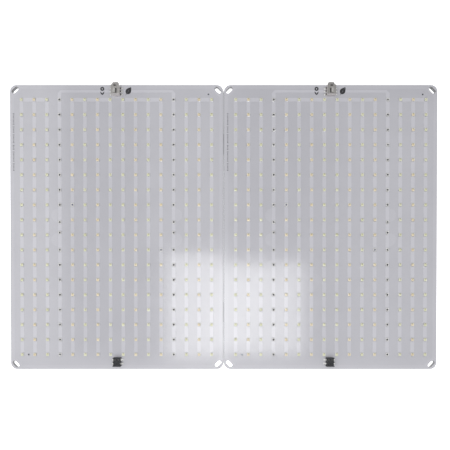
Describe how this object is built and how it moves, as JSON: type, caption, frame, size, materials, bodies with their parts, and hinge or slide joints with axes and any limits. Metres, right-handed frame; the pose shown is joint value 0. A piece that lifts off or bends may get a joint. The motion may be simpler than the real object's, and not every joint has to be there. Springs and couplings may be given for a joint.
{
  "type": "led grow light",
  "caption": "Flat horticulture light of two rectangular LED boards side by side, each with heat spreader, spectrum selector switch and push-in power terminal.",
  "frame": {"origin": "centre of the footprint, on the plane on which the joining bars' rear faces rest", "axes": "+Z is the way the LEDs face, +Y points to the edge with the selector switches, +X to the right as seen with the LEDs facing the viewer and the switches at the top"},
  "size_m": [0.4268, 0.2854, 0.014],
  "materials": {
    "solder_mask": "glossy white solder mask",
    "thermal_pad": "soft silicone sheet",
    "aluminium": "rolled and brushed",
    "white_leds": "phosphor in silicone in a white package",
    "red_leds": "clear lens over a small dark chip in a pale package",
    "black_moulding": "fine-grained black moulding",
    "nickel_case": "satin nickel plate",
    "slider_nylon": "natural grey nylon",
    "spring_bronze": "phosphor bronze strip",
    "tinned_contact": "bright tin plate",
    "release_button": "black moulding",
    "zinc_steel": "zinc plate"
  },
  "bodies": {
    "boards": {"left_circuit_board": "solder_mask", "left_thermal_sheet": "thermal_pad", "left_heat_spreader": "aluminium", "left_led_strings_1_to_3": "white_leds", "left_led_strings_5_to_8": "white_leds", "left_led_strings_9_to_12": "white_leds", "left_led_strings_14_to_16": "white_leds", "left_red_led_string_4": "red_leds", "left_red_led_string_13": "red_leds", "left_switch_base": "black_moulding", "left_switch_case": "nickel_case", "left_switch_detent_spring": "spring_bronze", "left_terminal_housing": "black_moulding", "left_terminal_contact_a": "tinned_contact", "left_terminal_spring_a": "spring_bronze", "left_terminal_contact_b": "tinned_contact", "left_terminal_spring_b": "spring_bronze", "right_circuit_board": "solder_mask", "right_thermal_sheet": "thermal_pad", "right_heat_spreader": "aluminium", "right_led_strings_1_to_3": "white_leds", "right_led_strings_5_to_8": "white_leds", "right_led_strings_9_to_12": "white_leds", "right_led_strings_14_to_16": "white_leds", "right_red_led_string_4": "red_leds", "right_red_led_string_13": "red_leds", "right_switch_base": "black_moulding", "right_switch_case": "nickel_case", "right_switch_detent_spring": "spring_bronze", "right_terminal_housing": "black_moulding", "right_terminal_contact_a": "tinned_contact", "right_terminal_spring_a": "spring_bronze", "right_terminal_contact_b": "tinned_contact", "right_terminal_spring_b": "spring_bronze", "upper_joining_bar": "aluminium", "lower_joining_bar": "aluminium", "joining_screw_1": "zinc_steel", "clinch_nut_1": "zinc_steel", "joining_screw_2": "zinc_steel", "clinch_nut_2": "zinc_steel", "joining_screw_3": "zinc_steel", "clinch_nut_3": "zinc_steel", "joining_screw_4": "zinc_steel", "clinch_nut_4": "zinc_steel"},
    "left_selector": {"left_switch_slider": "slider_nylon", "left_switch_wiper_a": "spring_bronze", "left_switch_wiper_b": "spring_bronze", "left_switch_wiper_c": "spring_bronze"},
    "right_selector": {"right_switch_slider": "slider_nylon", "right_switch_wiper_a": "spring_bronze", "right_switch_wiper_b": "spring_bronze", "right_switch_wiper_c": "spring_bronze"},
    "left_button_a": {"left_release_button_a": "release_button"},
    "left_button_b": {"left_release_button_b": "release_button"},
    "right_button_a": {"right_release_button_a": "release_button"},
    "right_button_b": {"right_release_button_b": "release_button"}
  },
  "joints": [
    {"name": "left_selector_slide", "type": "slide", "parent": "boards", "child": "left_selector", "axis": [1, 0, 0], "range_m": [0, 0.0012]},
    {"name": "right_selector_slide", "type": "slide", "parent": "boards", "child": "right_selector", "axis": [1, 0, 0], "range_m": [-0.0012, 0]},
    {"name": "left_button_a_press", "type": "slide", "parent": "boards", "child": "left_button_a", "axis": [0, 0, -1], "range_m": [0, 0.0008], "stiffness_N_per_m": 50, "springref_m": -0.0004},
    {"name": "left_button_b_press", "type": "slide", "parent": "boards", "child": "left_button_b", "axis": [0, 0, -1], "range_m": [0, 0.0008], "stiffness_N_per_m": 50, "springref_m": -0.0004},
    {"name": "right_button_a_press", "type": "slide", "parent": "boards", "child": "right_button_a", "axis": [0, 0, -1], "range_m": [0, 0.0008], "stiffness_N_per_m": 50, "springref_m": -0.0004},
    {"name": "right_button_b_press", "type": "slide", "parent": "boards", "child": "right_button_b", "axis": [0, 0, -1], "range_m": [0, 0.0008], "stiffness_N_per_m": 50, "springref_m": -0.0004}
  ]
}
